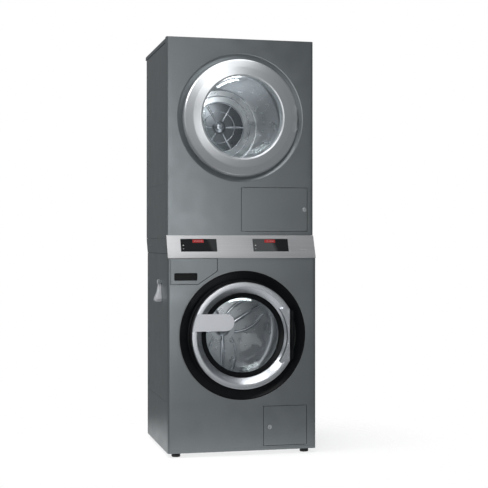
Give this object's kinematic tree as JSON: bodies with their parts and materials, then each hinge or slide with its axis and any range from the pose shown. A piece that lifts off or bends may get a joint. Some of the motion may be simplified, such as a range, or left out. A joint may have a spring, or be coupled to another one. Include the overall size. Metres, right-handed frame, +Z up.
{
  "type": "washer dryer stack",
  "caption": "Front-loading washer with a tumble dryer stacked on it, round glass doors, sloped control strip between them, detergent drawer, service flaps and drums that turn.",
  "frame": {"origin": "on the floor, under the middle of the whole machine's bounding box", "axes": "+Z up, -Y out of the doors, +X to the right when facing the doors"},
  "size_m": [0.726, 0.742, 1.904],
  "materials": {
    "iron_grey_paint": "iron grey powder coat, slightly glossy",
    "stainless": "brushed",
    "satin_metal": "satin",
    "handle": "satin light",
    "black_plastic": "fine grain",
    "display": "dark glossy window",
    "clear_glass": "clear",
    "drum_steel": "perforated stainless sheet",
    "rubber": "matt",
    "galvanised": "galvanised sheet",
    "cast_iron": "as cast, painted",
    "motor_paint": "dark enamel",
    "pale_plastic": "moulded",
    "brass": "bare"
  },
  "bodies": {
    "cabinet": {"washer_base": "galvanised", "foot_front_left": "rubber", "foot_front_right": "rubber", "foot_rear_left": "rubber", "foot_rear_right": "rubber", "washer_side_left": "iron_grey_paint", "washer_side_right": "iron_grey_paint", "washer_front_panel": "iron_grey_paint", "washer_rear_panel": "galvanised", "stacking_frame": "iron_grey_paint", "control_fascia": "stainless", "display_left": "display", "display_right": "display", "door_surround": "black_plastic", "washer_hinge_bracket": "black_plastic", "washer_door_lock": "black_plastic", "tub_gasket": "rubber", "washer_tub": "galvanised", "tub_counterweight": "cast_iron", "washer_motor": "motor_paint", "washer_belt": "rubber", "suspension_strut_left": "motor_paint", "suspension_strut_right": "motor_paint", "dispenser_housing": "pale_plastic", "drain_pump": "pale_plastic", "water_inlet": "brass", "cable_gland": "black_plastic", "dryer_side_left": "iron_grey_paint", "dryer_side_right": "iron_grey_paint", "dryer_front_panel": "iron_grey_paint", "dryer_rear_panel": "galvanised", "dryer_lid": "iron_grey_paint", "dryer_blower": "galvanised", "dryer_motor": "motor_paint", "dryer_belt": "rubber", "dryer_heater": "galvanised", "lint_filter": "pale_plastic"},
    "washer_door": {"washer_door_ring": "satin_metal", "washer_door_glass": "clear_glass", "washer_door_clamp": "black_plastic", "washer_door_leaf": "black_plastic"},
    "washer_handle": {"washer_door_handle": "handle"},
    "washer_drum_set": {"washer_drum": "drum_steel", "drum_spider": "cast_iron", "drum_pulley": "cast_iron"},
    "washer_motor_shaft": {"washer_motor_pulley": "galvanised"},
    "detergent_drawer": {"dispenser_front": "iron_grey_paint", "dispenser_tray": "pale_plastic"},
    "service_door": {"service_flap": "iron_grey_paint"},
    "service_lock": {"service_flap_lock": "galvanised"},
    "side_pull": {"side_lever": "handle"},
    "dryer_door": {"dryer_door_ring": "satin_metal", "dryer_door_glass": "clear_glass", "dryer_door_seal": "rubber"},
    "dryer_drum_set": {"dryer_drum": "drum_steel", "dryer_drum_back": "drum_steel"},
    "dryer_motor_shaft": {"dryer_motor_pulley": "galvanised", "dryer_fan": "pale_plastic"},
    "filter_door": {"filter_flap": "iron_grey_paint"},
    "filter_lock": {"filter_flap_lock": "galvanised"}
  },
  "joints": [
    {"name": "washer_door_hinge", "type": "hinge", "parent": "cabinet", "child": "washer_door", "pos_m": [0.243, -0.339, 0.547], "axis": [0, 0, 1], "range_deg": [0, 160]},
    {"name": "washer_handle_pull", "type": "hinge", "parent": "washer_door", "child": "washer_handle", "pos_m": [-0.198, -0.3585, 0.6095], "axis": [0, 0, -1], "range_deg": [0, 12], "stiffness_Nm_per_rad": 2},
    {"name": "washer_drum_spin", "type": "hinge", "parent": "cabinet", "child": "washer_drum_set", "pos_m": [0.017, -0.069, 0.547], "axis": [0, 1, 0], "continuous": true},
    {"name": "washer_motor_spin", "type": "hinge", "parent": "cabinet", "child": "washer_motor_shaft", "pos_m": [-0.043, 0.211, 0.15], "axis": [0, 1, 0], "continuous": true},
    {"name": "detergent_drawer_slide", "type": "slide", "parent": "cabinet", "child": "detergent_drawer", "axis": [0, -1, 0], "range_m": [0, 0.2]},
    {"name": "service_flap_hinge", "type": "hinge", "parent": "cabinet", "child": "service_door", "pos_m": [0.3125, -0.3135, 0.13], "axis": [0, 0, 1], "range_deg": [0, 100]},
    {"name": "service_lock_turn", "type": "hinge", "parent": "service_door", "child": "service_lock", "pos_m": [0.143, -0.319, 0.125], "axis": [0, -1, 0], "range_deg": [0, 90]},
    {"name": "side_lever_swing", "type": "hinge", "parent": "cabinet", "child": "side_pull", "pos_m": [-0.339, -0.129, 0.788], "axis": [0, 1, 0], "range_deg": [0, 40]},
    {"name": "dryer_door_hinge", "type": "hinge", "parent": "cabinet", "child": "dryer_door", "pos_m": [0.279, -0.288, 1.542], "axis": [0, 0, 1], "range_deg": [0, 115]},
    {"name": "dryer_drum_spin", "type": "hinge", "parent": "cabinet", "child": "dryer_drum_set", "pos_m": [0.017, -0.019, 1.542], "axis": [0, 1, 0], "continuous": true},
    {"name": "dryer_motor_spin", "type": "hinge", "parent": "cabinet", "child": "dryer_motor_shaft", "pos_m": [-0.153, 0.021, 1.115], "axis": [0, 1, 0], "continuous": true},
    {"name": "filter_flap_hinge", "type": "hinge", "parent": "cabinet", "child": "filter_door", "pos_m": [0.026, -0.2705, 1.1218], "axis": [0, 0, -1], "range_deg": [0, 100]},
    {"name": "filter_lock_turn", "type": "hinge", "parent": "filter_door", "child": "filter_lock", "pos_m": [0.3205, -0.276, 1.121], "axis": [0, 1, 0], "range_deg": [0, 90]}
  ],
  "couplings": [
    {"joint": "washer_motor_spin", "follows": "washer_drum_spin", "ratio": 6.8182},
    {"joint": "dryer_motor_spin", "follows": "dryer_drum_spin", "ratio": 14.5}
  ]
}
